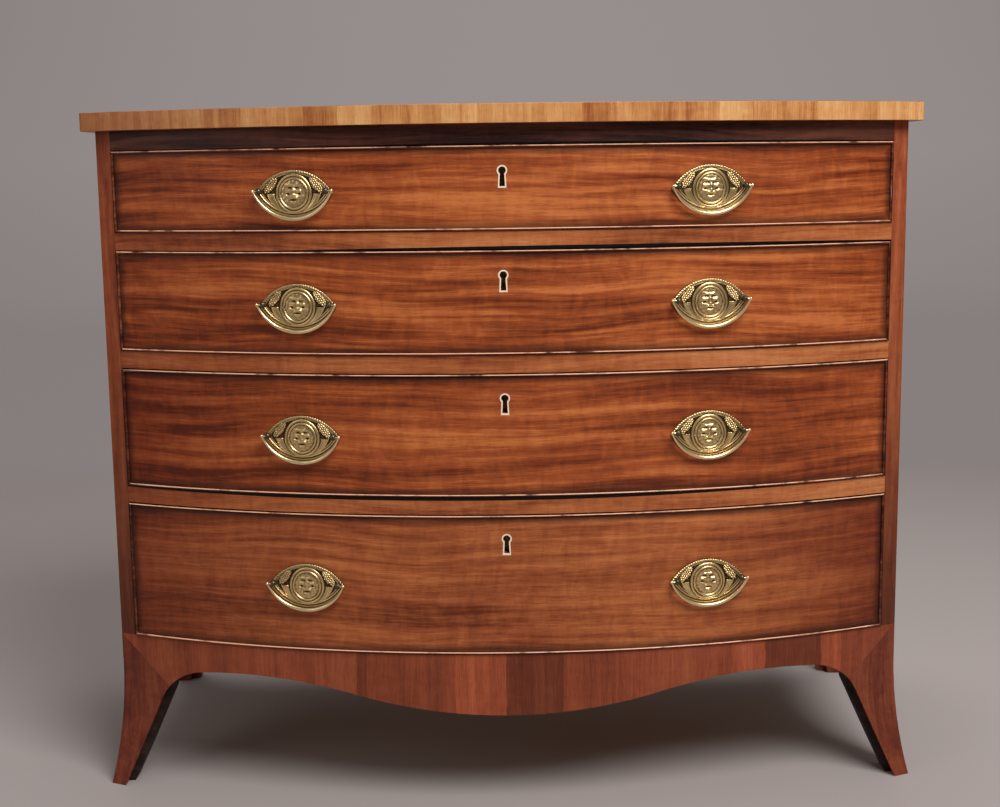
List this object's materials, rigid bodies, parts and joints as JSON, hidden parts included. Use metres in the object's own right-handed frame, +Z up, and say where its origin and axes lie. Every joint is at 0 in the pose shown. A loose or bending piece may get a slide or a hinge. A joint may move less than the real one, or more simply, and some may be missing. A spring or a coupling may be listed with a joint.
{
  "type": "bow front chest of drawers",
  "caption": "Bow front chest of graduated cock-beaded drawers with bail handles, on splayed bracket feet joined by a serpentine apron.",
  "frame": {"origin": "on the floor, under the middle of the box that holds the whole chest", "axes": "+Z up, the bowed front faces -Y, +X to the right as one faces the front"},
  "size_m": [1.056, 0.551, 0.8743],
  "materials": {
    "mahogany_top": "waxed",
    "mahogany_side": "waxed",
    "mahogany_rail": "waxed",
    "mahogany_crossband": "waxed",
    "mahogany_foot": "waxed",
    "mahogany_front": "waxed",
    "mahogany_bead": "waxed",
    "oak": "bare",
    "pine": "bare",
    "brass": "lacquered, worn",
    "brass_pale": "lacquered, worn",
    "brass_dark": "lacquered, worn"
  },
  "bodies": {
    "carcass": {"top_board": "mahogany_top", "case_sides": "mahogany_side", "top_rails": "mahogany_rail", "drawer_rails": "mahogany_rail", "drawer_runners": "oak", "dust_boards": "pine", "drawer_stops": "oak", "bottom_board": "pine", "back_boards": "pine", "front_apron": "mahogany_crossband", "front_feet": "mahogany_foot", "back_feet": "mahogany_foot", "side_aprons": "mahogany_crossband", "glue_blocks": "pine"},
    "drawer_1": {"drawer_1_front": "mahogany_front", "drawer_1_linings": "oak", "drawer_1_bottom": "oak", "drawer_1_cock_beads": "mahogany_bead", "drawer_1_escutcheon": "brass_pale", "drawer_1_lock": "brass_dark", "drawer_1_handle_plates": "brass", "drawer_1_handle_posts": "brass"},
    "drawer_1_bolt": {"drawer_1_lock_bolt": "brass_dark"},
    "drawer_1_left_bail": {"drawer_1_bail_left": "brass"},
    "drawer_1_right_bail": {"drawer_1_bail_right": "brass"},
    "drawer_2": {"drawer_2_front": "mahogany_front", "drawer_2_linings": "oak", "drawer_2_bottom": "oak", "drawer_2_cock_beads": "mahogany_bead", "drawer_2_escutcheon": "brass_pale", "drawer_2_lock": "brass_dark", "drawer_2_handle_plates": "brass", "drawer_2_handle_posts": "brass"},
    "drawer_2_bolt": {"drawer_2_lock_bolt": "brass_dark"},
    "drawer_2_left_bail": {"drawer_2_bail_left": "brass"},
    "drawer_2_right_bail": {"drawer_2_bail_right": "brass"},
    "drawer_3": {"drawer_3_front": "mahogany_front", "drawer_3_linings": "oak", "drawer_3_bottom": "oak", "drawer_3_cock_beads": "mahogany_bead", "drawer_3_escutcheon": "brass_pale", "drawer_3_lock": "brass_dark", "drawer_3_handle_plates": "brass", "drawer_3_handle_posts": "brass"},
    "drawer_3_bolt": {"drawer_3_lock_bolt": "brass_dark"},
    "drawer_3_left_bail": {"drawer_3_bail_left": "brass"},
    "drawer_3_right_bail": {"drawer_3_bail_right": "brass"},
    "drawer_4": {"drawer_4_front": "mahogany_front", "drawer_4_linings": "oak", "drawer_4_bottom": "oak", "drawer_4_cock_beads": "mahogany_bead", "drawer_4_escutcheon": "brass_pale", "drawer_4_lock": "brass_dark", "drawer_4_handle_plates": "brass", "drawer_4_handle_posts": "brass"},
    "drawer_4_bolt": {"drawer_4_lock_bolt": "brass_dark"},
    "drawer_4_left_bail": {"drawer_4_bail_left": "brass"},
    "drawer_4_right_bail": {"drawer_4_bail_right": "brass"}
  },
  "joints": [
    {"name": "drawer_1_slide", "type": "slide", "parent": "carcass", "child": "drawer_1", "axis": [0, -1, 0], "range_m": [0, 0.33]},
    {"name": "drawer_1_bolt_slide", "type": "slide", "parent": "drawer_1", "child": "drawer_1_bolt", "axis": [0, 0, 1], "range_m": [0, 0.008]},
    {"name": "drawer_1_left_bail_swing", "type": "hinge", "parent": "drawer_1", "child": "drawer_1_left_bail", "pos_m": [-0.25182, -0.24282, 0.7755], "axis": [-0.9794, 0.2019, 0], "range_deg": [0, 165]},
    {"name": "drawer_1_right_bail_swing", "type": "hinge", "parent": "drawer_1", "child": "drawer_1_right_bail", "pos_m": [0.25182, -0.24282, 0.7755], "axis": [-0.9794, -0.2019, 0], "range_deg": [0, 165]},
    {"name": "drawer_2_slide", "type": "slide", "parent": "carcass", "child": "drawer_2", "axis": [0, -1, 0], "range_m": [0, 0.33]},
    {"name": "drawer_2_bolt_slide", "type": "slide", "parent": "drawer_2", "child": "drawer_2_bolt", "axis": [0, 0, 1], "range_m": [0, 0.008]},
    {"name": "drawer_2_left_bail_swing", "type": "hinge", "parent": "drawer_2", "child": "drawer_2_left_bail", "pos_m": [-0.25182, -0.24282, 0.6392], "axis": [-0.9794, 0.2019, 0], "range_deg": [0, 165]},
    {"name": "drawer_2_right_bail_swing", "type": "hinge", "parent": "drawer_2", "child": "drawer_2_right_bail", "pos_m": [0.25182, -0.24282, 0.6392], "axis": [-0.9794, -0.2019, 0], "range_deg": [0, 165]},
    {"name": "drawer_3_slide", "type": "slide", "parent": "carcass", "child": "drawer_3", "axis": [0, -1, 0], "range_m": [0, 0.33]},
    {"name": "drawer_3_bolt_slide", "type": "slide", "parent": "drawer_3", "child": "drawer_3_bolt", "axis": [0, 0, 1], "range_m": [0, 0.008]},
    {"name": "drawer_3_left_bail_swing", "type": "hinge", "parent": "drawer_3", "child": "drawer_3_left_bail", "pos_m": [-0.25182, -0.24282, 0.4775], "axis": [-0.9794, 0.2019, 0], "range_deg": [0, 165]},
    {"name": "drawer_3_right_bail_swing", "type": "hinge", "parent": "drawer_3", "child": "drawer_3_right_bail", "pos_m": [0.25182, -0.24282, 0.4775], "axis": [-0.9794, -0.2019, 0], "range_deg": [0, 165]},
    {"name": "drawer_4_slide", "type": "slide", "parent": "carcass", "child": "drawer_4", "axis": [0, -1, 0], "range_m": [0, 0.33]},
    {"name": "drawer_4_bolt_slide", "type": "slide", "parent": "drawer_4", "child": "drawer_4_bolt", "axis": [0, 0, 1], "range_m": [0, 0.008]},
    {"name": "drawer_4_left_bail_swing", "type": "hinge", "parent": "drawer_4", "child": "drawer_4_left_bail", "pos_m": [-0.25182, -0.24282, 0.2904], "axis": [-0.9794, 0.2019, 0], "range_deg": [0, 165]},
    {"name": "drawer_4_right_bail_swing", "type": "hinge", "parent": "drawer_4", "child": "drawer_4_right_bail", "pos_m": [0.25182, -0.24282, 0.2904], "axis": [-0.9794, -0.2019, 0], "range_deg": [0, 165]}
  ]
}
